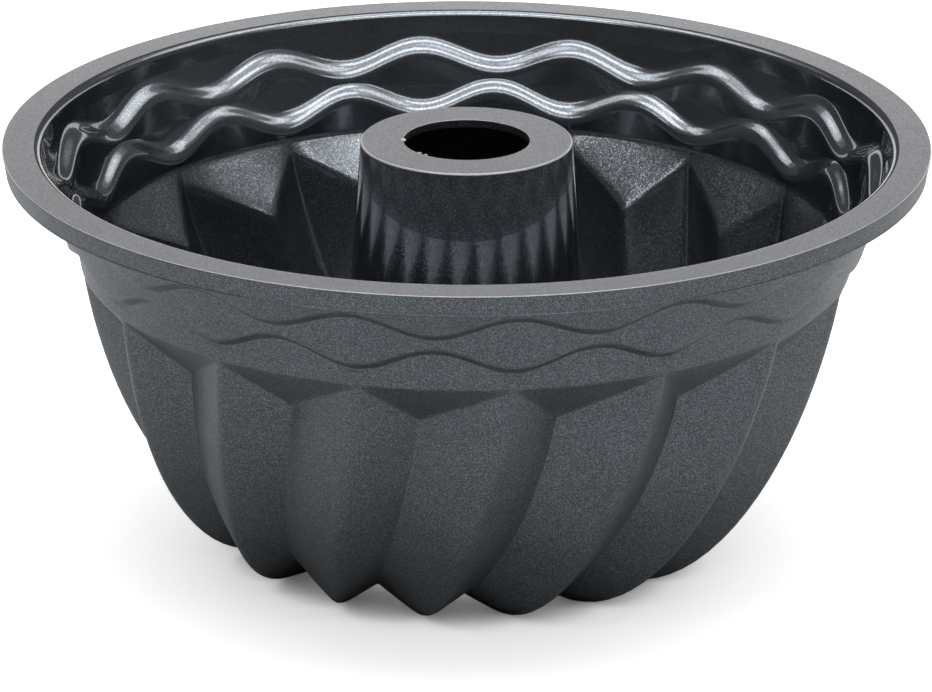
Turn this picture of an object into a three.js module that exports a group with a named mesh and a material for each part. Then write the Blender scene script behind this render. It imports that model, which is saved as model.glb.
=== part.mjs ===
// Silicone fluted tube pan: a ring-cake mould with a flat rim, a stepped band with two wavy
// ledges, twisted flutes and a hollow tube in the middle. The moulding is divided along its own
// lines, and neighbouring zones share the faces that they meet on.
// Millimetres, +Z up. The origin is on the axis, in the plane that the flutes stand on.
// Angles run from the front (-Y) towards +X.

import * as THREE from 'three';

// Overall
const PAN_HEIGHT = 110;
const WALL = 2.5;

// Rim flange
const MOUTH_RADIUS = 110;
const MOUTH_FILLET = 2;
const RIM_WIDTH = 10;
const RIM_THICKNESS = 5.7;
const RIM_DRAFT = 1;
const RIM_EDGE = 0.4;

// Stepped band below the rim: drops are measured down from the rim's top
const UPPER_WAVE_DROP = 13;
const UPPER_WAVE_SWING = 2.6;
const LOWER_WAVE_DROP = 23.4;
const LOWER_WAVE_SWING = 2.8;
const LEDGE_DROP = 2;
const LEDGE_WIDTH = 3;
const UPPER_TERRACE_DRAFT = 3;
const MIDDLE_TERRACE_DRAFT = 2.2;
const LOWER_TERRACE_DRAFT = 1.3;
const SHOULDER_DROP = 31.9;
const SHOULDER_COLLAR = 1.6;

// Flutes
const FLUTE_COUNT = 16;
const FIRST_RIDGE_ANGLE = 6.9;
const FLUTE_TWIST = 19.3;
const TWIST_POWER = 1.33;
const RIDGE_WIDTH = 4.4;
const VALLEY_WIDTH = 2.4;
const VALLEY_SHARE = 0.355;
const SHOULDER_CREASE = 0.8;
const FLUTE_DEPTH = 12.5;
const VALLEY_DROP = 44.6;
const RIDGE_LEAN = 10.3;
const RIDGE_TOP_REACH = 41;
const RIDGE_FOOT_REACH = 20;
const VALLEY_LEAN = 6;
const VALLEY_TOP_REACH = 32;
const VALLEY_FOOT_REACH = 12;

// Standing ring and floor
const CREST_RADIUS = 53.5;
const CREST_FLAT = 5;
const VALLEY_FOOT_INSET = 5;
const VALLEY_LIFT = 5.5;
const FLOOR_LIFT = 6;
const FOOT_RADIUS = 6;

// Tube
const TUBE_TOP_RADIUS = 27.4;
const TUBE_DRAFT_ANGLE = 4;
const TUBE_WALL = 2.4;
const TUBE_EDGE = 0.5;
const HOLE_RADIUS = 16.4;
const LIP_THICKNESS = 2.3;

// Fineness of the faceted surfaces
const BAND_COLUMNS_PER_WAVE = 8;
const FLUTE_ROWS = 7;
const TUBE_SEGMENTS = 48;
const FILLET_STEPS = 3;

// Finish
const SILICONE_COLOUR = '#363c42';
const SILICONE_ROUGHNESS = 0.55;

const radians = THREE.MathUtils.degToRad;
const lerp = THREE.MathUtils.lerp;
const pitch = (2 * Math.PI) / FLUTE_COUNT;
const bandColumns = FLUTE_COUNT * BAND_COLUMNS_PER_WAVE;

const wallTopRadius = MOUTH_RADIUS + WALL;
const rimUnderside = PAN_HEIGHT - RIM_THICKNESS;
const upperFootRadius = wallTopRadius - UPPER_TERRACE_DRAFT;
const middleTopRadius = upperFootRadius - LEDGE_WIDTH;
const middleFootRadius = middleTopRadius - MIDDLE_TERRACE_DRAFT;
const lowerTopRadius = middleFootRadius - LEDGE_WIDTH;
const shoulderRadius = lowerTopRadius - LOWER_TERRACE_DRAFT;
const shoulderHeight = PAN_HEIGHT - SHOULDER_DROP;
const collarHeight = shoulderHeight + SHOULDER_COLLAR;
const footHeight = FLOOR_LIFT + FOOT_RADIUS;

function tubeRadius(height) {
  return TUBE_TOP_RADIUS + (PAN_HEIGHT - height) * Math.tan(radians(TUBE_DRAFT_ANGLE));
}

// A point at a radius, a height and an angle from the front
function polar(radius, height, angle) {
  return new THREE.Vector3(radius * Math.sin(angle), -radius * Math.cos(angle), height);
}

// A moulded wall as a closed grid of columns round the axis. Each station gives the outside's
// radius, height and angle at a column. A station with an inset is cut level, and its inner
// point lies that far nearer the axis. Elsewhere the inner point lies one wall inside the outside.
function wallGrid(stations, columns) {
  const outer = stations.map((station) => columns.map((column) => {
    const { radius, height, angle } = station.at(column);
    return polar(radius, height, angle);
  }));
  const inner = stations.map((station, row) => columns.map((column, index) => {
    if (station.inset !== undefined) {
      const { radius, height, angle } = station.at(column);
      return polar(radius - station.inset, height, angle);
    }
    const before = outer[row][(index + columns.length - 1) % columns.length];
    const after = outer[row][(index + 1) % columns.length];
    const round = bisector(before, outer[row][index], after);
    const down = bisector(outer[row - 1][index], outer[row][index], outer[row + 1][index]);
    const outward = down.cross(round).normalize();
    return outer[row][index].clone().addScaledVector(outward, -WALL);
  }));
  return { outer, inner };
}

// The mean direction of travel through a point of a line
function bisector(before, point, after) {
  const arriving = point.clone().sub(before).normalize();
  const leaving = after.clone().sub(point).normalize();
  return arriving.add(leaving);
}

// One closed zone of a wall grid, from row to row and from column to column. A ring takes every
// column and has no sides.
function zoneGeometry(grid, rows, columns) {
  const columnTotal = grid.outer[0].length;
  const isRing = columns === undefined;
  const [firstRow, lastRow] = rows;
  const [firstColumn, lastColumn] = isRing ? [0, columnTotal] : columns;
  const across = isRing ? columnTotal : lastColumn - firstColumn + 1;
  const positions = [];
  for (const surface of [grid.outer, grid.inner]) {
    for (let row = firstRow; row <= lastRow; row += 1) {
      for (let step = 0; step < across; step += 1) {
        positions.push(...surface[row][(firstColumn + step) % columnTotal].toArray());
      }
    }
  }
  const down = lastRow - firstRow;
  const outside = (row, step) => row * across + (step % across);
  const inside = (row, step) => (down + 1) * across + outside(row, step);
  const faces = [];
  const quad = (a, b, c, d, reversed) => {
    faces.push(...(reversed ? [a, c, b, a, d, c] : [a, b, c, a, c, d]));
  };
  const spans = isRing ? across : across - 1;
  for (let step = 0; step < spans; step += 1) {
    for (let row = 0; row < down; row += 1) {
      for (const [side, reversed] of [[outside, false], [inside, true]]) {
        quad(side(row, step), side(row + 1, step), side(row + 1, step + 1), side(row, step + 1), reversed);
      }
    }
    for (const [row, reversed] of [[0, false], [down, true]]) {
      quad(outside(row, step), outside(row, step + 1), inside(row, step + 1), inside(row, step), reversed);
    }
  }
  if (!isRing) {
    for (let row = 0; row < down; row += 1) {
      for (const [step, reversed] of [[0, false], [across - 1, true]]) {
        quad(outside(row, step), inside(row, step), inside(row + 1, step), outside(row + 1, step), reversed);
      }
    }
  }
  const geometry = new THREE.BufferGeometry();
  geometry.setAttribute('position', new THREE.Float32BufferAttribute(positions, 3));
  geometry.setIndex(faces);
  return geometry;
}

// A ring turned from a section of radius and height points, listed with the solid on the left. Its
// first corners stand in line with the first ridge, as those of the wall grids do.
function turnedRing(section, segments) {
  const outline = [...section, section[0]].map(([radius, height]) => new THREE.Vector2(radius, height));
  const ring = new THREE.LatheGeometry(outline, segments).rotateX(Math.PI / 2);
  return ring.rotateZ(radians(FIRST_RIDGE_ANGLE));
}

// Points of a quarter round about a centre, from one angle to another
function roundedCorner(centreRadius, centreHeight, size, fromDegrees, toDegrees) {
  const points = [];
  for (let step = 0; step <= FILLET_STEPS; step += 1) {
    const angle = radians(lerp(fromDegrees, toDegrees, step / FILLET_STEPS));
    points.push([centreRadius + size * Math.cos(angle), centreHeight + size * Math.sin(angle)]);
  }
  return points;
}

// The rim's underside is divided where the wall ends, so that the part outside it is a free flat face
function rimFlange() {
  const outerRadius = MOUTH_RADIUS + RIM_WIDTH;
  const section = [
    [MOUTH_RADIUS, rimUnderside],
    [wallTopRadius, rimUnderside],
    [outerRadius - RIM_DRAFT, rimUnderside],
    [outerRadius, PAN_HEIGHT - RIM_EDGE],
    [outerRadius - RIM_EDGE, PAN_HEIGHT],
    ...roundedCorner(MOUTH_RADIUS + MOUTH_FILLET, PAN_HEIGHT - MOUTH_FILLET, MOUTH_FILLET, 90, 180),
  ];
  return turnedRing(section, bandColumns);
}

// The stepped band. The upper wave rises at each ridge, and the lower wave falls there.
function bandGrid() {
  const columns = [];
  for (let column = 0; column < bandColumns; column += 1) {
    columns.push(column / BAND_COLUMNS_PER_WAVE);
  }
  const angleAt = (column) => radians(FIRST_RIDGE_ANGLE) + column * pitch;
  const swing = (column) => Math.cos(2 * Math.PI * column);
  const upperWave = (column) => PAN_HEIGHT - UPPER_WAVE_DROP + UPPER_WAVE_SWING * swing(column);
  const lowerWave = (column) => PAN_HEIGHT - LOWER_WAVE_DROP - LOWER_WAVE_SWING * swing(column);
  const station = (radius, heightAt, inset) => ({
    at: (column) => ({ radius, height: heightAt(column), angle: angleAt(column) }),
    inset,
  });
  const stations = [
    station(wallTopRadius, () => rimUnderside, WALL),
    station(upperFootRadius, (column) => upperWave(column) + LEDGE_DROP / 2),
    station(middleTopRadius, (column) => upperWave(column) - LEDGE_DROP / 2),
    station(middleFootRadius, (column) => lowerWave(column) + LEDGE_DROP / 2),
    station(lowerTopRadius, (column) => lowerWave(column) - LEDGE_DROP / 2),
    station(shoulderRadius, () => collarHeight, WALL),
  ];
  return wallGrid(stations, columns);
}

// A profile from a top point to a foot point: it leaves the top at a lean from the vertical and
// comes level at the foot.
function fluteProfile(top, lean, topReach, foot, footReach) {
  const leaving = new THREE.Vector2(-Math.sin(radians(lean)), -Math.cos(radians(lean)));
  return new THREE.CubicBezierCurve(
    top,
    top.clone().addScaledVector(leaving, topReach),
    new THREE.Vector2(foot.x + footReach, foot.y),
    foot,
  );
}

// The columns of every flute, from the valley on its left to the valley on its right: two columns
// on the flat ridge, two in each flat valley, and one on each slope between them.
function fluteColumns() {
  const ridgeHalf = RIDGE_WIDTH / 2 / (pitch * shoulderRadius);
  const valleyHalf = VALLEY_WIDTH / 2 / (pitch * shoulderRadius);
  const leftValley = VALLEY_SHARE - 1 + valleyHalf;
  const rightValley = VALLEY_SHARE - valleyHalf;
  const shares = [
    [leftValley, 0],
    [(leftValley - ridgeHalf) / 2, 0.5],
    [-ridgeHalf, 1],
    [ridgeHalf, 1],
    [(ridgeHalf + rightValley) / 2, 0.5],
    [rightValley, 0],
  ];
  const columns = [];
  for (let flute = 0; flute < FLUTE_COUNT; flute += 1) {
    for (const [share, ridgeness] of shares) {
      columns.push({ turn: radians(FIRST_RIDGE_ANGLE) + (flute + share) * pitch, ridgeness });
    }
  }
  return columns;
}

// The fluted wall and the floor. Each station runs from a point of the valley's profile to a
// point of the ridge's, turned by the twist at that share of the fall to the standing ring.
function fluteGrid() {
  const ridgeTop = new THREE.Vector2(shoulderRadius, shoulderHeight - SHOULDER_CREASE);
  const ridgeFoot = new THREE.Vector2(CREST_RADIUS, 0);
  const ridge = fluteProfile(ridgeTop, RIDGE_LEAN, RIDGE_TOP_REACH, ridgeFoot, RIDGE_FOOT_REACH);
  const valleyTop = new THREE.Vector2(shoulderRadius - FLUTE_DEPTH, PAN_HEIGHT - VALLEY_DROP);
  const valleyFoot = new THREE.Vector2(CREST_RADIUS - VALLEY_FOOT_INSET, VALLEY_LIFT);
  const valley = fluteProfile(valleyTop, VALLEY_LEAN, VALLEY_TOP_REACH, valleyFoot, VALLEY_FOOT_REACH);
  const station = (low, high, fall, inset) => ({
    at: ({ turn, ridgeness }) => ({
      radius: lerp(low.x, high.x, ridgeness),
      height: lerp(low.y, high.y, ridgeness),
      angle: turn - radians(FLUTE_TWIST) * fall ** TWIST_POWER,
    }),
    inset,
  });
  const collar = new THREE.Vector2(shoulderRadius, collarHeight);
  const shoulder = new THREE.Vector2(shoulderRadius, shoulderHeight);
  const stations = [station(collar, collar, 0, WALL), station(shoulder, shoulder, 0)];
  for (let row = 0; row <= FLUTE_ROWS; row += 1) {
    const fall = row / FLUTE_ROWS;
    stations.push(station(valley.getPoint(fall), ridge.getPoint(fall), fall));
  }
  const crestRow = stations.length - 1;
  const crestInner = new THREE.Vector2(ridgeFoot.x - CREST_FLAT, ridgeFoot.y);
  const valleyInner = new THREE.Vector2(valleyFoot.x - CREST_FLAT, valleyFoot.y);
  stations.push(station(valleyInner, crestInner, 1));
  const boreRadius = tubeRadius(footHeight) - TUBE_WALL;
  for (const [radius, height] of roundedCorner(boreRadius + FOOT_RADIUS, footHeight, FOOT_RADIUS, 270, 180)) {
    const bend = new THREE.Vector2(radius, height);
    stations.push(station(bend, bend, 1));
  }
  stations[stations.length - 1].inset = -TUBE_WALL;
  return { grid: wallGrid(stations, fluteColumns()), crestRow, footRow: stations.length - 1 };
}

function centerTube() {
  const lipUnderside = PAN_HEIGHT - LIP_THICKNESS;
  const section = [
    [tubeRadius(footHeight) - TUBE_WALL, footHeight],
    [tubeRadius(footHeight), footHeight],
    [tubeRadius(lipUnderside), lipUnderside],
    [tubeRadius(lipUnderside) - TUBE_WALL, lipUnderside],
  ];
  return turnedRing(section, TUBE_SEGMENTS);
}

function tubeLip() {
  const lipUnderside = PAN_HEIGHT - LIP_THICKNESS;
  const section = [
    [HOLE_RADIUS, lipUnderside],
    [tubeRadius(lipUnderside), lipUnderside],
    ...roundedCorner(TUBE_TOP_RADIUS - TUBE_EDGE, PAN_HEIGHT - TUBE_EDGE, TUBE_EDGE, 0, 90),
    [HOLE_RADIUS, PAN_HEIGHT],
  ];
  return turnedRing(section, TUBE_SEGMENTS);
}

const pan = new THREE.Group();

function addZone(name, geometry) {
  const material = new THREE.MeshStandardMaterial({
    color: SILICONE_COLOUR,
    roughness: SILICONE_ROUGHNESS,
    metalness: 0,
  });
  const mesh = new THREE.Mesh(geometry, material);
  mesh.name = name;
  pan.add(mesh);
}

addZone('rim_flange', rimFlange());

const band = bandGrid();
addZone('upper_terrace', zoneGeometry(band, [0, 2]));
addZone('middle_terrace', zoneGeometry(band, [2, 4]));
addZone('lower_terrace', zoneGeometry(band, [4, 5]));

const { grid: fluted, crestRow, footRow } = fluteGrid();
const columnsPerFlute = fluted.outer[0].length / FLUTE_COUNT;
for (let flute = 0; flute < FLUTE_COUNT; flute += 1) {
  const firstColumn = flute * columnsPerFlute;
  const name = `flute_${String(flute + 1).padStart(2, '0')}`;
  addZone(name, zoneGeometry(fluted, [0, crestRow], [firstColumn, firstColumn + columnsPerFlute]));
}
addZone('floor_ring', zoneGeometry(fluted, [crestRow, footRow]));

addZone('center_tube', centerTube());
addZone('tube_lip', tubeLip());

export default pan;
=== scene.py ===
# %% [markdown]
# # A silicone fluted tube pan
#
# The pan is a ring-cake mould, pressed from one piece of silicone: a flat rim, a band with two wavy
# steps, sixteen twisted flutes and a hollow tube in the middle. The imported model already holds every
# zone at its real size, as flat facets. This lesson puts a smooth moulded skin around that frame, and
# then gives it the finishes of the real thing: satin outside, glossy inside, matte on the cut edges.

# %% Load the frame
import math

import bmesh
import bpy
from mathutils import Euler, Matrix, Vector


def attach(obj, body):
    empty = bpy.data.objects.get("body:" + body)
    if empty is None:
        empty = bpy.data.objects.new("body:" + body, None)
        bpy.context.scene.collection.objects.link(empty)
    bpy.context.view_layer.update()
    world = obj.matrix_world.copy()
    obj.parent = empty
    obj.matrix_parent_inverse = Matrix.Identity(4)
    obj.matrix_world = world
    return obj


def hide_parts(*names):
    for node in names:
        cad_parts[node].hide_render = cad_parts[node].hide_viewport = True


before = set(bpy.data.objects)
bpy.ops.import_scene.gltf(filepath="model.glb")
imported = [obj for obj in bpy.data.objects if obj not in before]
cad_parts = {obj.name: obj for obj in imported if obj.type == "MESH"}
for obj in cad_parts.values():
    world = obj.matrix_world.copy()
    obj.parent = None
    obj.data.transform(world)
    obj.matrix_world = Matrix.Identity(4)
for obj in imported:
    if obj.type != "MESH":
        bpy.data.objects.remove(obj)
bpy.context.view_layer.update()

MM = 0.001


# %% [markdown]
# ## The camera
#
# The pan was photographed from far away with a long lens, so its ellipses are nearly those of a plain
# slanted view. The camera stands in front of the pan (-Y), looks down by about 20 degrees, and leans
# by a fraction of a degree. Its place is written as a distance from the middle of the rim and a rise
# above it, because those are what a photographer would measure.

# %% Set up the camera
PAN_HEIGHT = 110
CAMERA_DISTANCE = 1823.8
CAMERA_RISE = math.radians(18.53)
CAMERA_PITCH = math.radians(20.207)
CAMERA_ROLL = math.radians(0.175)
LENS = 272.5
SENSOR_WIDTH = 36

lens_data = bpy.data.cameras.new("long_lens")
lens_data.lens = LENS
lens_data.sensor_width = SENSOR_WIDTH
camera = bpy.data.objects.new("camera", lens_data)
bpy.context.scene.collection.objects.link(camera)
camera.location = Vector((
    0,
    -CAMERA_DISTANCE * math.cos(CAMERA_RISE),
    CAMERA_DISTANCE * math.sin(CAMERA_RISE) + PAN_HEIGHT,
)) * MM
looking_down = Euler((math.pi / 2 - CAMERA_PITCH, 0, 0)).to_matrix()
camera.rotation_euler = (looking_down @ Matrix.Rotation(CAMERA_ROLL, 3, "Z")).to_euler()
bpy.context.scene.camera = camera
print("camera at", [round(n, 3) for n in camera.location], "lens", LENS)

# %% [markdown]
# ## Turning a section
#
# The rim, the band and the tube are round, so each is drawn as a closed section and turned about the
# axis. A section could be typed in as many points, but a mould maker thinks in corners with radii.
# So a section here is a short list of corners, each with its radius, its height and its rounding. A
# vertex bevel cuts each corner back along both of its edges by the tangent length, which turns it into
# an arc, and a spin sweeps the section round the axis.

# %% Helpers for turned pieces
CORNER_SEGMENTS = 6
SUPPORT = 0.3  # distance of the rows that keep an edge crisp, in millimetres
SHARP_ANGLE = math.radians(35)


def rounding_length(before, corner, after, rounding):
    """How far from the corner an arc of this radius touches its two edges."""
    arriving = Vector(corner[:2]) - Vector(before[:2])
    leaving = Vector(after[:2]) - Vector(corner[:2])
    return rounding * math.tan(arriving.angle(leaving) / 2)


def face_outwards(bm):
    """Point every face of a closed mesh outwards, which gives it a positive volume."""
    bmesh.ops.recalc_face_normals(bm, faces=bm.faces)
    if bm.calc_volume(signed=True) < 0:
        bmesh.ops.reverse_faces(bm, faces=bm.faces)


def turn_section(corners, steps):
    """A closed ring from (radius, height, rounding) corners in millimetres."""
    bm = bmesh.new()
    verts = [bm.verts.new((0, -radius * MM, height * MM)) for radius, height, _ in corners]
    for vert, following in zip(verts, verts[1:] + verts[:1]):
        bm.edges.new((vert, following))
    for index, (vert, corner) in enumerate(zip(verts, corners)):
        if corner[2] > 0:
            following = corners[(index + 1) % len(corners)]
            cut = rounding_length(corners[index - 1], corner, following, corner[2])
            bmesh.ops.bevel(bm, geom=[vert], offset=cut * MM, offset_type="OFFSET",
                            affect="VERTICES", segments=CORNER_SEGMENTS, profile=0.5, material=-1)
    for edge in bm.edges[:]:
        if edge.calc_length() > 4 * SUPPORT * MM:
            for end in edge.verts[:]:
                bmesh.utils.edge_split(edge, end, SUPPORT * MM / edge.calc_length())
    bmesh.ops.spin(bm, geom=bm.verts[:] + bm.edges[:], cent=(0, 0, 0), axis=(0, 0, 1),
                   angle=2 * math.pi, steps=steps, use_merge=True)
    face_outwards(bm)
    return bm


def radius_of(point):
    """Distance from the axis in millimetres."""
    return math.hypot(point.x, point.y) / MM


def angle_of(point):
    """Angle from the front (-Y) towards +X."""
    return math.atan2(point.x, -point.y)


def outward_part(face):
    """How far a face looks away from the axis, from -1 to 1."""
    middle = face.calc_center_median()
    return face.normal.dot(Vector((middle.x, middle.y, 0)).normalized())


def make_piece(bm, name, nodes):
    """The finished mesh as a piece that stands for these nodes of the frame."""
    mesh = bpy.data.meshes.new(name)
    bm.to_mesh(mesh)
    bm.free()
    mesh.shade_smooth()
    mesh.set_sharp_from_angle(angle=SHARP_ANGLE)
    piece = bpy.data.objects.new(name, mesh)
    bpy.context.scene.collection.objects.link(piece)
    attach(piece, "root")
    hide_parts(*nodes)
    print(name, "stands for", len(nodes), "nodes with", len(mesh.polygons), "faces")
    return piece


# %% [markdown]
# ## The rim
#
# The rim is a flat flange, 10 mm wide and nearly 6 mm thick, which stiffens the soft mouth. Its inner
# edge is well rounded, so that it lets go of the cake, and its outer edges are almost sharp, because
# the mould parts there. Where the two halves of the mould met, a thread of silicone was squeezed out
# along the lower edge, and at the front it was not trimmed quite flush. Faces that look towards the
# axis belong to the polished inside of the mould. The flat top was blasted, and the side has the grain
# of the outside. Its outer top edge is painted pale: partly wear by hands and racks, partly a painted
# highlight, the thin line of light that the edge catches.

# %% Turn the rim
# The pale edge line is partly wear and partly a painted highlight; the darker upper front of the tube
# is painted shade.
OUTSIDE, INSIDE, EDGE, WORN_AND_HIGHLIT, DULL_PAINTED_SHADE = range(5)
LEVEL, SLANTED, SIDEWAYS = 0.9, 0.3, 0.05  # parts of a normal by which faces are sorted
MOUTH_RADIUS = 110
MOUTH_FILLET = 2.0
RIM_WIDTH = 10
RIM_THICKNESS = 5.7
RIM_DRAFT = 1.0
RIM_EDGE = 0.45
WALL = 2.5
WALL_UNDER_RIM = 3.6
FLASH_HEIGHT = 0.5
FLASH_REACH = 0.35
FLASH_LEAST = 0.04  # share of the flash that is left at the sides and the back
FLASH_FADE = 4
RIM_STEPS = 384

rim_radius = MOUTH_RADIUS + RIM_WIDTH
rim_underside = PAN_HEIGHT - RIM_THICKNESS
wall_top_radius = MOUTH_RADIUS + WALL
inner_top_radius = wall_top_radius - WALL_UNDER_RIM
rim_foot_radius = rim_radius - RIM_DRAFT
rim = turn_section([
    (inner_top_radius, rim_underside, 0),
    (MOUTH_RADIUS, PAN_HEIGHT, MOUTH_FILLET),
    (rim_radius, PAN_HEIGHT, RIM_EDGE),
    (rim_foot_radius, rim_underside + FLASH_HEIGHT, 0),
    (rim_foot_radius + FLASH_REACH, rim_underside + FLASH_HEIGHT / 2, FLASH_REACH / 2),
    (rim_foot_radius, rim_underside, 0),
], RIM_STEPS)
for vert in rim.verts:
    flash = radius_of(vert.co) - rim_foot_radius
    if vert.co.z / MM < rim_underside + FLASH_HEIGHT and flash > 0:
        towards_front = max(0, math.cos(angle_of(vert.co))) ** FLASH_FADE
        kept = FLASH_LEAST + (1 - FLASH_LEAST) * towards_front
        shrink = (rim_foot_radius + flash * kept) / radius_of(vert.co)
        vert.co = Vector((vert.co.x * shrink, vert.co.y * shrink, vert.co.z))
for face in rim.faces:
    height = face.calc_center_median().z / MM
    if outward_part(face) < -SIDEWAYS:
        face.material_index = INSIDE
    elif face.normal.z > LEVEL:
        face.material_index = EDGE
    # The slanted faces of the outer top edge get a pale line: partly wear, partly a painted highlight.
    elif face.normal.z > SLANTED and height > PAN_HEIGHT - 2 * RIM_EDGE:
        face.material_index = WORN_AND_HIGHLIT
    else:
        face.material_index = OUTSIDE
rim_piece = make_piece(rim, "rim", ["rim_flange"])

# %% [markdown]
# ## The wavy band
#
# Below the rim the wall steps in twice, and each step's edge rises and falls sixteen times in a wave,
# the lower wave against the upper one. A curve with a bevel could follow the wave, but then the walls
# between would have to be fitted to it. Here the whole band is turned first with level steps, and then
# the step corners are lifted and lowered by a cosine of the angle. The walls between stretch along.
# The inner corners are the outer ones moved in by one wall, with softer roundings. The collar at the
# band's lower end stays level, so that the fluted wall joins it without a gap.

# %% Turn the band with level steps
UPPER_WAVE = 97.0
LOWER_WAVE = 86.6
LEDGE_DROP = 2.0
LEDGE_WIDTH = 3.0
MIDDLE_DRAFT = 2.2
LOWER_DRAFT = 1.3
SHOULDER_RADIUS = 100
SHOULDER_HEIGHT = 78.1
COLLAR_HEIGHT = 81.5
ROOT_FILLET = 1.0
ROOT_REACH = 1.0
LEDGE_EDGE = 2.1
LEDGE_CORNER = 0.7
INNER_CORNER = 4.2
INNER_EDGE = 4.5
INNER_WIDENING = 0.35  # the ledges are a little wider inside
UPPER_LEDGE_RAISE = 0.45  # and a little higher
LOWER_LEDGE_RAISE = 0.8
BAND_STEPS = 384


def one_wall_in(before, corner, after, wall=WALL):
    """The corner of a section moved in by one wall, keeping both walls even."""
    arriving = (Vector(corner) - Vector(before)).normalized()
    leaving = (Vector(after) - Vector(corner)).normalized()
    inwards = Vector((arriving.y, -arriving.x)) + Vector((leaving.y, -leaving.x))
    return Vector(corner) + inwards * wall / (1 + arriving.dot(leaving))


lower_slope = LOWER_DRAFT / (LOWER_WAVE - LEDGE_DROP / 2 - SHOULDER_HEIGHT)
collar_radius = SHOULDER_RADIUS + lower_slope * (COLLAR_HEIGHT - SHOULDER_HEIGHT)
lower_top_radius = SHOULDER_RADIUS + LOWER_DRAFT
middle_foot_radius = lower_top_radius + LEDGE_WIDTH
middle_top_radius = middle_foot_radius + MIDDLE_DRAFT
upper_foot_radius = middle_top_radius + LEDGE_WIDTH
outer = [
    (wall_top_radius, rim_underside),
    (upper_foot_radius, UPPER_WAVE + LEDGE_DROP / 2),
    (middle_top_radius, UPPER_WAVE - LEDGE_DROP / 2),
    (middle_foot_radius, LOWER_WAVE + LEDGE_DROP / 2),
    (lower_top_radius, LOWER_WAVE - LEDGE_DROP / 2),
    (collar_radius, COLLAR_HEIGHT),
]
outer_roundings = [ROOT_FILLET, LEDGE_EDGE, LEDGE_CORNER, LEDGE_EDGE, LEDGE_CORNER, 0]
inner_corners = [
    (4, LOWER_LEDGE_RAISE, INNER_EDGE, -INNER_WIDENING),
    (3, LOWER_LEDGE_RAISE, INNER_CORNER, INNER_WIDENING),
    (2, UPPER_LEDGE_RAISE, INNER_EDGE, -INNER_WIDENING),
    (1, UPPER_LEDGE_RAISE, INNER_CORNER, INNER_WIDENING),
]
section = [(wall_top_radius + ROOT_REACH, rim_underside, 0)]
for corner, rounding in zip(outer, outer_roundings):
    section.append((*corner, rounding))
section.append((collar_radius - WALL, COLLAR_HEIGHT, 0))
for index, raised, rounding, widened in inner_corners:
    inner = one_wall_in(*outer[index - 1:index + 2])
    lifted = inner.y + raised + widened * LEDGE_DROP / LEDGE_WIDTH
    section.append((inner.x + widened, lifted, rounding))
section.append((inner_top_radius, rim_underside, 0))
band = turn_section(section, BAND_STEPS)
print("band section:", [(round(r, 2), round(h, 2)) for r, h, _ in section])

# %% Wave the steps
FLUTE_COUNT = 16
FIRST_RIDGE = math.radians(6.9)
UPPER_SWING = 2.6
LOWER_SWING = 2.8
LEDGE_REACH = 5.0  # corners within this height of a step move with it
WALL_SLOPE = 0.27  # how far the wall leans out for each step up


def wave_lift(height, angle):
    """How far a step corner at this height is lifted, in millimetres."""
    swing = math.cos(FLUTE_COUNT * (angle - FIRST_RIDGE))
    if abs(height - UPPER_WAVE) < LEDGE_REACH:
        return UPPER_SWING * swing
    if abs(height - LOWER_WAVE) < LEDGE_REACH and height > COLLAR_HEIGHT + 2 * SUPPORT:
        return -LOWER_SWING * swing
    return 0


for vert in band.verts:
    lift = wave_lift(vert.co.z / MM, angle_of(vert.co)) * MM
    outwards = Vector((vert.co.x, vert.co.y, 0)).normalized()
    vert.co += Vector((0, 0, lift)) + outwards * lift * WALL_SLOPE
band.normal_update()
for face in band.faces:
    face.material_index = OUTSIDE if outward_part(face) > face.normal.z else INSIDE
band_piece = make_piece(band, "wavy_band",
                        ["upper_terrace", "middle_terrace", "lower_terrace"])

# %% [markdown]
# ## The fluted wall
#
# Each flute is a twisted fin between two valleys. Its ridge and its valley are smooth curves from the
# shoulder down to the standing ring, and the flanks between them are nearly flat. The outside of a
# ridge is rounded and the outside of a valley is crisp. Inside it is the other way round, because the
# wall is equally thick everywhere.
#
# The wall could be extruded ring by ring, but one flute repeated sixteen times says better what it is.
# So a plain grid becomes one flute: its rows are stations down the outside, round the foot and up the
# inside again, and its columns run from valley to valley. A spin copies it round the axis, the doubled
# columns are merged, and a subdivision surface rounds the whole. Pairs of rows or columns that stand
# close together hold an edge crisp, and pairs that stand apart let it go soft.

# %% Curves of the ridge and the valley
TWIST = math.radians(19.3)
TWIST_POWER = 1.33  # above 1, the twist grows towards the foot
FLUTE_DEPTH = 12.5
SHOULDER_CREASE = 0.8
VALLEY_TOP = 65.4
RIDGE_LEAN, RIDGE_TOP_REACH, RIDGE_FOOT_REACH = math.radians(10.3), 41, 20
VALLEY_LEAN, VALLEY_TOP_REACH, VALLEY_FOOT_REACH = math.radians(6), 32, 20
CREST_RADIUS = 53.5
CREST_FLAT = 5
VALLEY_FOOT_INSET = 5
VALLEY_LIFT = 5.5


def curve_down(top, lean, top_reach, foot, foot_reach):
    """A curve that leaves the top at a lean from the vertical and comes level at the foot."""
    leaving = Vector((-math.sin(lean), -math.cos(lean)))
    points = [Vector(top), Vector(top) + leaving * top_reach,
              Vector(foot) + Vector((foot_reach, 0)), Vector(foot)]

    def at(fall):
        rest = 1 - fall
        weights = [rest ** 3, 3 * rest ** 2 * fall, 3 * rest * fall ** 2, fall ** 3]
        return sum((point * weight for point, weight in zip(points, weights)), Vector((0, 0)))

    return at


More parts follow.
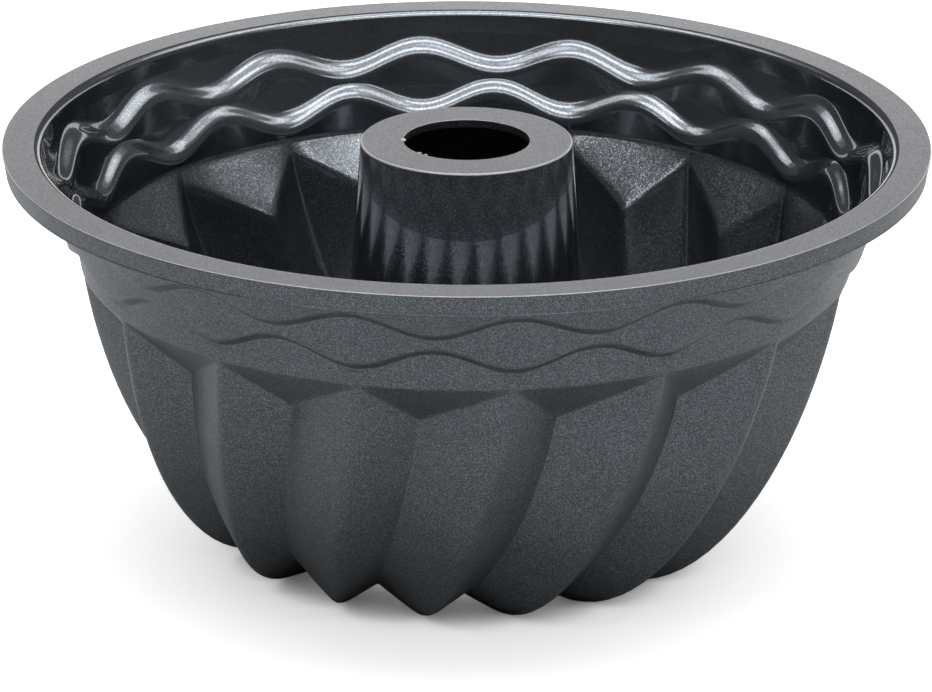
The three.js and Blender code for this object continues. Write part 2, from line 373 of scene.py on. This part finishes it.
ridge_top = Vector((SHOULDER_RADIUS, SHOULDER_HEIGHT - SHOULDER_CREASE))
ridge_foot = Vector((CREST_RADIUS, 0))
valley_top = Vector((SHOULDER_RADIUS - FLUTE_DEPTH, VALLEY_TOP))
valley_foot = Vector((CREST_RADIUS - VALLEY_FOOT_INSET, VALLEY_LIFT))
ridge_curve = curve_down(
    ridge_top, RIDGE_LEAN, RIDGE_TOP_REACH, ridge_foot, RIDGE_FOOT_REACH)
valley_curve = curve_down(
    valley_top, VALLEY_LEAN, VALLEY_TOP_REACH, valley_foot, VALLEY_FOOT_REACH)
print("half way down the ridge:", ridge_curve(0.5), "the valley:", valley_curve(0.5))

# %% Stations of the outside and the inside
FLUTE_ROWS = 10
TUBE_TOP_RADIUS = 27.4
TUBE_DRAFT = math.radians(4)
TUBE_WALL = 2.4
FLOOR_LIFT = 6
FOOT_RADIUS = 6
FOOT_STEPS = 4
FLANK_WALL = 3.0
INNER_SHOULDER = 80.4
INNER_CREASE_DROP = 1.3


def tube_radius(height):
    """Outer radius of the tapered tube at a height, in millimetres."""
    return TUBE_TOP_RADIUS + (PAN_HEIGHT - height) * math.tan(TUBE_DRAFT)


def stations(collar_hold, facet_holds, crease_hold, is_inner):
    """Rows from the collar to the tube's foot, as (valley point, ridge point, fall) each. The holds
    are shares of a stretch at which a supporting row stands beside the shoulder and the crease."""
    collar = Vector((collar_radius, COLLAR_HEIGHT))
    shoulder = Vector((SHOULDER_RADIUS, SHOULDER_HEIGHT))
    held = collar.lerp(shoulder, collar_hold)
    rows = [(collar, collar, 0), (held, held, 0), (shoulder, shoulder, 0)]
    for share in facet_holds:
        rows.append((shoulder.lerp(valley_top, share), shoulder.lerp(ridge_top, share), 0))
    falls = [0, crease_hold] + [(row + 1) / FLUTE_ROWS for row in range(FLUTE_ROWS)]
    rows += [(valley_curve(fall), ridge_curve(fall), fall) for fall in falls]
    crest_inner = ridge_foot - Vector((CREST_FLAT, 0))
    valley_inner = valley_foot - Vector((CREST_FLAT, 0))
    for share in (0.5, 1):
        rows.append((valley_foot.lerp(valley_inner, share), ridge_foot.lerp(crest_inner, share), 1))
    foot_height = FLOOR_LIFT + FOOT_RADIUS
    bend_centre = Vector((tube_radius(foot_height) - TUBE_WALL + FOOT_RADIUS, foot_height))
    for step in range(FOOT_STEPS + 1):
        turn = math.pi / 2 * step / FOOT_STEPS
        bend = bend_centre + FOOT_RADIUS * Vector((-math.sin(turn), -math.cos(turn)))
        rows.append((bend, bend, 1))
    return move_inside(rows, collar_hold, facet_holds) if is_inner else rows


def inset_station(rows, index):
    """A station moved in square to the wall, so that the flanks keep their thickness."""
    depth = TUBE_WALL if index > len(rows) - FOOT_STEPS else FLANK_WALL
    depth = WALL if index < 2 else depth
    moved = []
    for side in (0, 1):
        corner = rows[index][side]
        before = rows[index - 1][side] if index else corner + Vector((0, 1))
        after = rows[index + 1][side] if index + 1 < len(rows) else corner * 2 - before
        moved.append(one_wall_in(before, corner, after, depth))
    return moved[0], moved[1], rows[index][2]


def move_inside(rows, collar_hold, facet_holds):
    """The stations of the inside, one wall in. Its shoulder is a level line, so that the facets
    meet in points."""
    rows = [inset_station(rows, index) for index in range(len(rows))]
    collar = Vector((collar_radius - WALL, COLLAR_HEIGHT))
    drop = COLLAR_HEIGHT - INNER_SHOULDER
    shoulder = collar - Vector((lower_slope * drop, drop))
    crease = 3 + len(facet_holds)
    low, high, _ = rows[crease]
    low = low - Vector((0, INNER_CREASE_DROP))
    held = collar.lerp(shoulder, collar_hold)
    rows[:3] = [(collar, collar, 0), (held, held, 0), (shoulder, shoulder, 0)]
    for index, share in enumerate((*facet_holds, 1), start=3):
        rows[index] = (shoulder.lerp(low, share), shoulder.lerp(high, share), 0)
    return rows


OUTER_HOLDS = {"collar_hold": 0.8, "facet_holds": (0.06, 0.5, 0.93), "crease_hold": 0.025}
INNER_HOLDS = {"collar_hold": 0.5, "facet_holds": (0.06, 0.45, 0.88), "crease_hold": 0.05}
outer_rows = stations(**OUTER_HOLDS, is_inner=False)
inner_rows = stations(**INNER_HOLDS, is_inner=True)
print(len(outer_rows), "rows outside,", len(inner_rows), "inside")

# %% Columns from valley to valley
PITCH = 2 * math.pi / FLUTE_COUNT
VALLEY_SHARE = 0.355  # the ridge stands nearer to the valley on its right
GENTLE_SHARES = (0.35, 0.7)  # columns on the long flank
TOP_APEX = 1.0
APEX_GROWTH = 0.13  # the ridge stands out more at the foot, where its rounding is wider
RIDGE_SWELL = 0.4  # and most of all half way down
SOFTER_FOOT = 2.0
TIP_SHARE = 0.15  # least width of the ridge's rounding, where the flute runs out


def columns(pitch_length, fall, ridge_near, ridge_far, valley_near):
    """Columns across one flute, as (share of the pitch from the ridge, level from valley to ridge)."""
    apex = TOP_APEX + APEX_GROWTH * fall + RIDGE_SWELL * fall * (1 - fall)
    left, right = VALLEY_SHARE - 1, VALLEY_SHARE
    near, far, hold = (size / pitch_length for size in (ridge_near, ridge_far, valley_near))
    flank = -far - left - hold
    gentle = [left, left + hold] + [left + flank * share + hold for share in GENTLE_SHARES]
    steep = [(far + right - hold) / 2, right - hold, right]
    shares = gentle + [-far, -near, near, far] + steep
    return [(share, apex * (1 - share / (left if share < 0 else right))) for share in shares]


def flute_point(station, ridge_near, ridge_far, valley_near, column):
    """The place of one grid vertex in metres."""
    low, high, fall = station
    pitch_length = PITCH * (low.x + high.x) / 2
    growth = max(TIP_SHARE, min(1, (high - low).length / FLUTE_DEPTH)) * (1 + SOFTER_FOOT * fall)
    across = columns(pitch_length, fall, ridge_near * growth, ridge_far * growth, valley_near)
    share, level = across[column]
    place = low.lerp(high, level)
    angle = FIRST_RIDGE + share * PITCH - TWIST * fall ** TWIST_POWER
    return Vector((place.x * math.sin(angle), -place.x * math.cos(angle), place.y)) * MM


# Distances of the columns from the ridge, near and far, and from the valley, in millimetres.
OUTER_COLUMNS = (0.6, 1.8, 0.8)
INNER_COLUMNS = (0.5, 1.6, 1.9)
column_total = len(columns(PITCH * SHOULDER_RADIUS, 0, *OUTER_COLUMNS))
print(column_total, "columns across a flute")

# %% Lay one flute out of a grid and copy it round
MERGE = 0.001  # millimetres

loop_rows = [(row, OUTER_COLUMNS) for row in outer_rows]
loop_rows += [(row, INNER_COLUMNS) for row in reversed(inner_rows)]
loop_rows.append(loop_rows[0])
wall = bmesh.new()
bmesh.ops.create_grid(wall, x_segments=column_total - 1, y_segments=len(loop_rows) - 1, size=0.5)
crease = wall.edges.layers.float.new("crease_edge")
cap_rows = {0, len(outer_rows) - 1, len(outer_rows), len(loop_rows) - 2, len(loop_rows) - 1}
grid_row = {}
for vert in wall.verts:
    grid_row[vert] = round((vert.co.y + 0.5) * (len(loop_rows) - 1))
    column = round((vert.co.x + 0.5) * (column_total - 1))
    station, holds = loop_rows[grid_row[vert]]
    vert.co = flute_point(station, *holds, column)
for face in wall.faces:
    first_row = min(grid_row[vert] for vert in face.verts)
    face.material_index = OUTSIDE if first_row < len(outer_rows) - 1 else INSIDE
for edge in wall.edges:
    ends = {grid_row[vert] for vert in edge.verts}
    if len(ends) == 1 and ends <= cap_rows:
        edge[crease] = 1.0
bmesh.ops.spin(wall, geom=wall.verts[:] + wall.edges[:] + wall.faces[:], cent=(0, 0, 0),
               axis=(0, 0, 1), angle=2 * math.pi - PITCH, steps=FLUTE_COUNT - 1, use_duplicate=True)
bmesh.ops.remove_doubles(wall, verts=wall.verts, dist=MERGE * MM)
face_outwards(wall)
flute_nodes = [f"flute_{number:02d}" for number in range(1, FLUTE_COUNT + 1)]
wall_piece = make_piece(wall, "fluted_wall", flute_nodes + ["floor_ring"])
rounding = wall_piece.modifiers.new("rounding", "SUBSURF")
rounding.levels = 1
rounding.render_levels = 1

# %% [markdown]
# ## The tube
#
# The hollow tube lets hot air rise through the middle of the cake. It tapers by a few degrees so that
# the cake slides off, and its top is a flat lip with a round hole, level with the rim. It is turned
# like the rim: one closed section, a few corners, one spin. A slanted cut then divides the skin: above
# it the front of the tube is painted shade, a darker and rougher skin that shows no mirrored teeth, and
# below it the turned core still mirrors the flutes as a row of teeth. The hole was punched, and at its
# left it kept a few burrs, which are flattened balls set into the edge.

# %% Turn the tube
TUBE_EDGE = 0.8
PAINTED_SHADE_FROM = 92  # height of the slanted cut at the front
PAINTED_SHADE_RISE = 0.47  # and how steeply it rises to the back
HOLE_RADIUS = 16.4
HOLE_EDGE = 0.25
LIP_THICKNESS = 2.3
LIP_ROOT = 1.5
TUBE_STEPS = 192
# Each burr's angle from the front, and its length along the edge.
BURRS = [(math.radians(-90), 2.0), (math.radians(-48), 1.1), (math.radians(-40), 0.7)]
BURR_REACH = 1.5
BURR_HEIGHT = 0.9

lip_underside = PAN_HEIGHT - LIP_THICKNESS
foot_height = FLOOR_LIFT + FOOT_RADIUS
tube = turn_section([
    (tube_radius(foot_height), foot_height, 0),
    (TUBE_TOP_RADIUS, PAN_HEIGHT, TUBE_EDGE),
    (HOLE_RADIUS, PAN_HEIGHT, HOLE_EDGE),
    (HOLE_RADIUS, lip_underside, HOLE_EDGE),
    (tube_radius(lip_underside) - TUBE_WALL, lip_underside, LIP_ROOT),
    (tube_radius(foot_height) - TUBE_WALL, foot_height, 0),
], TUBE_STEPS)
# Above this slanted plane the front of the tube is painted shade, as a darker and rougher skin.
painted_shade_edge = Vector((0, -tube_radius(PAINTED_SHADE_FROM), PAINTED_SHADE_FROM)) * MM
painted_shade_side = Vector((0, -PAINTED_SHADE_RISE, 1)).normalized()
bmesh.ops.bisect_plane(tube, geom=tube.verts[:] + tube.edges[:] + tube.faces[:],
                       dist=MERGE * MM, plane_co=painted_shade_edge, plane_no=painted_shade_side)
for face in tube.faces:
    into_painted_shade = (face.calc_center_median() - painted_shade_edge).dot(painted_shade_side)
    # Level faces are the blasted lip; its slanted edge gets a pale line, partly wear, partly painted
    # highlight.
    if face.normal.z > SLANTED:
        face.material_index = EDGE if face.normal.z > LEVEL else WORN_AND_HIGHLIT
    # Faces towards the cavity: painted shade above the slanted cut, the mirroring turned core below.
    elif outward_part(face) > SIDEWAYS:
        face.material_index = DULL_PAINTED_SHADE if into_painted_shade > 0 else INSIDE
    else:
        face.material_index = OUTSIDE
hole_front = Matrix.Translation(Vector((0, -HOLE_RADIUS, PAN_HEIGHT - HOLE_EDGE)) * MM)
for angle, length in BURRS:
    place = Matrix.Rotation(angle, 4, "Z") @ hole_front
    shape = Matrix.Diagonal((length, BURR_REACH, BURR_HEIGHT, 1))
    # The ball is 1 mm across before it is stretched.
    burr = bmesh.ops.create_icosphere(tube, subdivisions=2, radius=0.5 * MM, matrix=place @ shape)
    for face in {face for vert in burr["verts"] for face in vert.link_faces}:
        face.material_index = WORN_AND_HIGHLIT
tube_piece = make_piece(tube, "tube", ["center_tube", "tube_lip"])

# %% [markdown]
# ## The silicone
#
# The pan is one platinum-cured silicone, dark blue-grey, with fine mica flakes mixed in. What differs
# is the skin that the tool and the use gave it. One function makes the compound: the flakes are small
# cells, each with its own lightness and lean, in a dark body under a clear skin. It is called once for
# each finish. Handling makes the skin a little uneven, and a few specks of dust lie on it. All patterns
# are given in millimetres and turned into scales. Real mica is 0.02 to 0.1 mm and would vanish between
# two pixels, so the cells are drawn two to four times coarser, and the eroded grain too.

# %% A colour and a node
def linear(hex_colour):
    """An sRGB hex colour as linear RGBA."""
    channels = [int(hex_colour[i:i + 2], 16) / 255 for i in (1, 3, 5)]
    return [c / 12.92 if c <= 0.04045 else ((c + 0.055) / 1.055) ** 2.4 for c in channels] + [1]


def add_node(tree, kind, inputs=None, **settings):
    """A node with its settings. An input is a value, or another node's output to link."""
    node = tree.nodes.new(kind)
    for name, value in settings.items():
        setattr(node, name, value)
    for name, value in (inputs or {}).items():
        if isinstance(value, bpy.types.NodeSocket):
            tree.links.new(value, node.inputs[name])
        else:
            node.inputs[name].default_value = value
    return node


# %% What lies on the skin
DUST_MM = 7.0  # one speck in a cell of this size
DUST_SPECK_MM = 0.14
DUST = "#b4b7ba"
CUT_MM = 0.1  # half the width of a knife cut where the rim was trimmed
CUT = "#333335"
TRIMMING_CUTS = [math.radians(109), math.radians(95)]


def dusted(tree, place, colour):
    """The colour with a few pale specks of dust."""
    specks = add_node(tree, "ShaderNodeTexVoronoi", {"Vector": place, "Scale": 1 / (DUST_MM * MM)})
    is_dust = add_node(tree, "ShaderNodeMath", {
        0: specks.outputs["Distance"], 1: DUST_SPECK_MM / DUST_MM}, operation="LESS_THAN")
    skin = add_node(tree, "ShaderNodeMix", {
        "Factor": is_dust.outputs["Value"], "A": colour, "B": linear(DUST)}, data_type="RGBA")
    return skin.outputs["Result"]


def trimmed(tree, place, colour, angle):
    """The colour with one dark cut straight across the rim, at an angle from the front."""
    across = add_node(tree, "ShaderNodeVectorMath", {
        0: place, 1: (math.cos(angle), math.sin(angle), 0)}, operation="DOT_PRODUCT")
    along = add_node(tree, "ShaderNodeVectorMath", {
        0: place, 1: (math.sin(angle), -math.cos(angle), 0)}, operation="DOT_PRODUCT")
    is_near = add_node(tree, "ShaderNodeMath", {
        0: across.outputs["Value"], 1: 0, 2: CUT_MM * MM}, operation="COMPARE")
    is_rim = add_node(tree, "ShaderNodeMath", {
        0: along.outputs["Value"], 1: MOUTH_RADIUS * MM}, operation="GREATER_THAN")
    is_cut = add_node(tree, "ShaderNodeMath", {
        0: is_near.outputs["Value"], 1: is_rim.outputs["Value"]}, operation="MULTIPLY")
    skin = add_node(tree, "ShaderNodeMix", {
        "Factor": is_cut.outputs["Value"], "A": colour, "B": linear(CUT)}, data_type="RGBA")
    return skin.outputs["Result"]


# %% How the flakes lean
def flake_normal(tree, place, cells, tilt, grain_mm, grain_depth):
    """The way the skin faces: the slope of its grain, and a lean of each flake's own."""
    grain = add_node(tree, "ShaderNodeTexNoise", {
        "Vector": place, "Scale": 1 / (grain_mm * MM), "Detail": 2.0, "Roughness": 0.6})
    bump = add_node(tree, "ShaderNodeBump", {
        "Height": grain.outputs["Fac"], "Distance": grain_depth * MM, "Strength": 1.0})
    centred = add_node(tree, "ShaderNodeVectorMath", {
        0: cells.outputs["Color"], 1: (0.5, 0.5, 0.5)}, operation="SUBTRACT")
    tilted = add_node(tree, "ShaderNodeVectorMath", {
        0: centred.outputs["Vector"], 1: (tilt, tilt, tilt), 2: bump.outputs["Normal"],
    }, operation="MULTIPLY_ADD")
    facing = add_node(tree, "ShaderNodeVectorMath", {
        0: tilted.outputs["Vector"]}, operation="NORMALIZE")
    return facing.outputs["Vector"]


# %% The compound
SILICONE_IOR = 1.41
HANDLING_MM = 18  # about a fingertip
HANDLED = {"From Min": 0.3, "From Max": 0.7}  # the noise's usual range
LEAST_DULL, MOST_DULL = 0.92, 1.1  # shares of the roughness
DARKEST, PALEST = 0.94, 1.06  # shares of the colour


def silicone(name, body, flake, flake_mm, flake_share, tilt, grain_mm, grain_depth, metallic,
             roughness, coat=0.0, coat_roughness=0.1, edge_tint=1.0, cuts=()):
    """Silicone with mica flakes under a skin of the given roughness and grain."""
    material = bpy.data.materials.new(name)
    material.use_nodes = True
    tree = material.node_tree
    tree.nodes.clear()
    place = add_node(tree, "ShaderNodeTexCoord").outputs["Object"]
    cells = add_node(tree, "ShaderNodeTexVoronoi", {"Vector": place, "Scale": 1 / (flake_mm * MM)})
    pick = add_node(tree, "ShaderNodeSeparateColor", {"Color": cells.outputs["Color"]})
    is_flake = add_node(tree, "ShaderNodeMapRange", {
        "Value": pick.outputs["Red"], "From Min": 1 - flake_share, "From Max": 1})
    flaked = add_node(tree, "ShaderNodeMix", {
        "Factor": is_flake.outputs["Result"], "A": linear(body), "B": linear(flake),
    }, data_type="RGBA")
    handling = add_node(tree, "ShaderNodeTexNoise", {
        "Vector": place, "Scale": 1 / (HANDLING_MM * MM), "Detail": 3.0, "Roughness": 0.55})
    uneven = add_node(tree, "ShaderNodeMapRange", {
        "Value": handling.outputs["Fac"], **HANDLED,
        "To Min": roughness * LEAST_DULL, "To Max": roughness * MOST_DULL})
    shaded = add_node(tree, "ShaderNodeMapRange", {
        "Value": handling.outputs["Fac"], **HANDLED, "To Min": DARKEST, "To Max": PALEST})
    varied = add_node(tree, "ShaderNodeVectorMath", {
        0: flaked.outputs["Result"], "Scale": shaded.outputs["Result"]}, operation="SCALE")
    colour = dusted(tree, place, varied.outputs["Vector"])
    for angle in cuts:
        colour = trimmed(tree, place, colour, angle)
    surface = add_node(tree, "ShaderNodeBsdfPrincipled", {
        "Base Color": colour,
        "Metallic": metallic,
        "Normal": flake_normal(tree, place, cells, tilt, grain_mm, grain_depth),
        "Roughness": uneven.outputs["Result"],
        "IOR": SILICONE_IOR,
        "Specular Tint": [edge_tint] * 3 + [1],
        "Coat Weight": coat,
        "Coat Roughness": coat_roughness,
        "Coat IOR": SILICONE_IOR,
    })
    add_node(tree, "ShaderNodeOutputMaterial", {"Surface": surface.outputs["BSDF"]})
    return material


# %% [markdown]
# ## The finishes
#
# The cavity half of the tool shapes the outside, and its core shapes the inside. Each part of the tool
# was finished in its own way. Two more skins hold painted light: a pale edge line, partly wear and
# partly a painted highlight, and a darker front of the tube, which is painted shade. The flakes make
# the skin reflect like a dull metal, and a polished skin has the clear gloss of a coat on top of that.

# %% Make the finishes
# Spark erosion of the cavity half: a satin grain that spreads the light and glitters softly.
satin = silicone("silicone_spark_eroded", "#4c5054", "#888f96",
                 flake_mm=0.15, flake_share=0.4, tilt=0.17,
                 grain_mm=0.3, grain_depth=0.006, metallic=0.84, roughness=0.4, edge_tint=0.95)
# The polished core at the band: nearly black, with crisp white streaks on the ledges.
gloss = silicone("silicone_polished", "#5f6368", "#7d838a",
                 flake_mm=0.2, flake_share=0.4, tilt=0.02,
                 grain_mm=2.0, grain_depth=0.001, metallic=0.92, roughness=0.17,
                 coat=1.0, coat_roughness=0.04, edge_tint=0.25)
# The core's facets are only lapped: still glossy, but the flakes sparkle in a wider glow.
lapped = silicone("silicone_lapped", "#565a5f", "#969ea5",
                  flake_mm=0.22, flake_share=0.35, tilt=0.065,
                  grain_mm=2.0, grain_depth=0.001, metallic=0.92, roughness=0.25,
                  coat=1.0, coat_roughness=0.08, edge_tint=0.25)
# The tube's core is turned and polished: it mirrors the flutes around it as pale teeth.
turned = silicone("silicone_turned", "#5a5e63", "#8b9198",
                  flake_mm=0.2, flake_share=0.4, tilt=0.08,
                  grain_mm=2.0, grain_depth=0.001, metallic=0.92, roughness=0.17,
                  coat=1.0, coat_roughness=0.04, edge_tint=0.5)
# The blasted rim and lip: an even, paler grey without streaks, crossed by two fine trimming cuts.
matte = silicone("silicone_blasted", "#646467", "#828285",
                 flake_mm=0.22, flake_share=0.6, tilt=0.2,
                 grain_mm=0.5, grain_depth=0.015, metallic=0.1, roughness=0.38, cuts=TRIMMING_CUTS)
# Pale edges: partly scuffed, partly a painted highlight for the thin line of light an edge catches.
worn_and_highlit = silicone("silicone_worn_and_painted_highlight", "#a6a6a9", "#bcbcbf",
                flake_mm=0.22, flake_share=0.6, tilt=0.15,
                grain_mm=0.5, grain_depth=0.01, metallic=0.1, roughness=0.3)
# Painted shade on the tube's upper front: dark and even, rougher, with a scatter of sparkles
# and no mirrored teeth.
dull_painted_shade = silicone("silicone_dull_painted_shade", "#4b4f54", "#83898f",
                  flake_mm=0.22, flake_share=0.35, tilt=0.12,
                  grain_mm=0.6, grain_depth=0.004, metallic=0.92, roughness=0.36,
                  coat=1.0, coat_roughness=0.16, edge_tint=0.4)
insides = [(rim_piece, gloss), (band_piece, gloss), (wall_piece, lapped), (tube_piece, turned)]
for piece, inside in insides:
    for material in (satin, inside, matte, worn_and_highlit, dull_painted_shade):
        piece.data.materials.append(material)
    print(piece.name, "has", [material.name for material in piece.data.materials])

# %% [markdown]
# ## The floor
#
# The pan stands on a sheet of white paper. Plain white would render as light grey, because it shows no
# more than the light that falls on it. So the paper glows a little where the camera looks at it, but
# not in the narrow gap under the pan, where the shadow stays. It is seen a little darker in mirrors,
# and it is clear from below, so that the underside of the pan can be looked at.

# %% Lay the floor
FLOOR_SIZE = 4.0
PAPER = "#eeeeee"
PAPER_MIRRORED = "#dadada"
FLOOR_LIFT_LIGHT = 0.58
FLOOR_SHADE_REACH = 0.016
CLOSED, OPEN = 0.05, 0.34  # ambient occlusion where the shadow is deepest, and where it ends
DEEPEST_SHADE = 0.1

floor_mesh = bpy.data.meshes.new("sweep")
bm = bmesh.new()
bmesh.ops.create_grid(bm, x_segments=1, y_segments=1, size=FLOOR_SIZE / 2)
bm.to_mesh(floor_mesh)
bm.free()
floor = bpy.data.objects.new("sweep", floor_mesh)
bpy.context.scene.collection.objects.link(floor)
paper = bpy.data.materials.new("white_paper")
paper.use_nodes = True
tree = paper.node_tree
tree.nodes.clear()
path = add_node(tree, "ShaderNodeLightPath")
openness = add_node(tree, "ShaderNodeAmbientOcclusion", {"Distance": FLOOR_SHADE_REACH})
shade = add_node(tree, "ShaderNodeMapRange", {
    "Value": openness.outputs["AO"], "From Min": CLOSED, "From Max": OPEN,
    "To Min": DEEPEST_SHADE, "To Max": 1.0})
lift = add_node(tree, "ShaderNodeMath", {
    0: shade.outputs["Result"], 1: path.outputs["Is Camera Ray"]}, operation="MULTIPLY")
shown = add_node(tree, "ShaderNodeMix", {
    "Factor": path.outputs["Is Glossy Ray"], "A": linear(PAPER), "B": linear(PAPER_MIRRORED),
}, data_type="RGBA")
sheet = add_node(tree, "ShaderNodeBsdfDiffuse", {"Color": shown.outputs["Result"]})
glow = add_node(tree, "ShaderNodeEmission", {
    "Color": [FLOOR_LIFT_LIGHT] * 3 + [1], "Strength": lift.outputs["Value"]})
both = add_node(tree, "ShaderNodeAddShader", {
    0: sheet.outputs["BSDF"], 1: glow.outputs["Emission"]})
from_below = add_node(tree, "ShaderNodeNewGeometry").outputs["Backfacing"]
nothing = add_node(tree, "ShaderNodeBsdfTransparent")
one_sided = add_node(tree, "ShaderNodeMixShader", {
    0: from_below, 1: both.outputs["Shader"], 2: nothing.outputs["BSDF"]})
add_node(tree, "ShaderNodeOutputMaterial", {"Surface": one_sided.outputs["Shader"]})
floor_mesh.materials.append(paper)
print("floor:", FLOOR_SIZE, "m of", paper.name)

# %% [markdown]
# ## The room
#
# To the camera the room is plain white. It gives little light of its own. In the pan's reflections it
# is dim in front, where the camera stands, brighter behind, and brighter on the right than on the
# left, as if a window were there.

# %% Set up the room
ROOM_LIGHT = 0.08
FRONT_LEVEL = 0.12
BACK_LEVEL = 0.25
LEFT_SHARE = 0.75
RIGHT_SHARE = 1.25
FRONT_TO_BACK = {"From Min": -0.5, "From Max": 0.5}  # where the level changes, along Y

world = bpy.data.worlds.new("white_room")
bpy.context.scene.world = world
world.use_nodes = True
tree = world.node_tree
tree.nodes.clear()
path = add_node(tree, "ShaderNodeLightPath")
direction = add_node(tree, "ShaderNodeTexCoord")
sides = add_node(tree, "ShaderNodeSeparateXYZ", {"Vector": direction.outputs["Generated"]})
mirrored = add_node(tree, "ShaderNodeMapRange", {
    "Value": sides.outputs["Y"], **FRONT_TO_BACK, "To Min": FRONT_LEVEL, "To Max": BACK_LEVEL})
seen = add_node(tree, "ShaderNodeMath", {
    0: path.outputs["Is Camera Ray"], 1: path.outputs["Is Transmission Ray"]}, operation="MAXIMUM")
window = add_node(tree, "ShaderNodeMapRange", {
    "Value": sides.outputs["X"], "From Min": -1, "From Max": 1,
    "To Min": LEFT_SHARE, "To Max": RIGHT_SHARE})
mirrored = add_node(tree, "ShaderNodeMath", {
    0: mirrored.outputs["Result"], 1: window.outputs["Result"]}, operation="MULTIPLY")
level = add_node(tree, "ShaderNodeMix", {
    "Factor": path.outputs["Is Glossy Ray"], "A": ROOM_LIGHT, "B": mirrored.outputs["Value"]})
level = add_node(tree, "ShaderNodeMix", {
    "Factor": seen.outputs["Value"], "A": level.outputs["Result"], "B": 1.0})
room = add_node(tree, "ShaderNodeBackground", {"Strength": level.outputs["Result"]})
add_node(tree, "ShaderNodeOutputWorld", {"Surface": room.outputs["Background"]})

# %% [markdown]
# ## The lamps
#
# A ceiling and a diffuser give the plain, even light. Two softboxes below them, in front of the pan and
# behind it with a gap between, draw the double streaks on the ledges. A strip further in front lights
# the sloping facets at the back. A low card behind the pan shows in the flat rim, which it makes paler
# at the back than at the front.

# %% Hang the lamps
def add_softbox(name, place, aim, size, watts):
    """A rectangular lamp at a place, turned to a point, both in metres."""
    light = bpy.data.lights.new(name, "AREA")
    light.shape = "RECTANGLE"
    light.size, light.size_y = size
    light.energy = watts
    lamp = bpy.data.objects.new(name, light)
    bpy.context.scene.collection.objects.link(lamp)
    lamp.location = place
    lamp.rotation_euler = (Vector(aim) - Vector(place)).to_track_quat("-Z", "Y").to_euler()
    return lamp


add_softbox("ceiling", (0.25, 0.4, 1.55), (0.25, 0.4, 0), (3.4, 2.6), 8.0)
add_softbox("diffuser", (0.1, -0.05, 1.52), (0.1, -0.05, 0), (1.9, 1.5), 12.5)
add_softbox("softbox_front", (0, -0.28, 1.5), (0, -0.28, 0), (1.4, 0.44), 8.2)
add_softbox("softbox_back", (0.2, 0.6, 1.5), (0.2, 0.6, 0), (3.0, 0.7), 13.4)
add_softbox("front_strip", (0.2, -1.05, 1.5), (0.2, 0.1, 0.09), (3.2, 0.24), 9.0)
add_softbox("back_card", (0, 0.25, 0.12), (0, 0, 0.12), (0.8, 0.085), 0.36)
print("lamps:", [lamp.name for lamp in bpy.data.lights])

# %% [markdown]
# ## Colours
#
# The Standard view shows a colour as it is written, with no film look over it.

# %% Show colours as they are written
bpy.context.scene.view_settings.view_transform = "Standard"
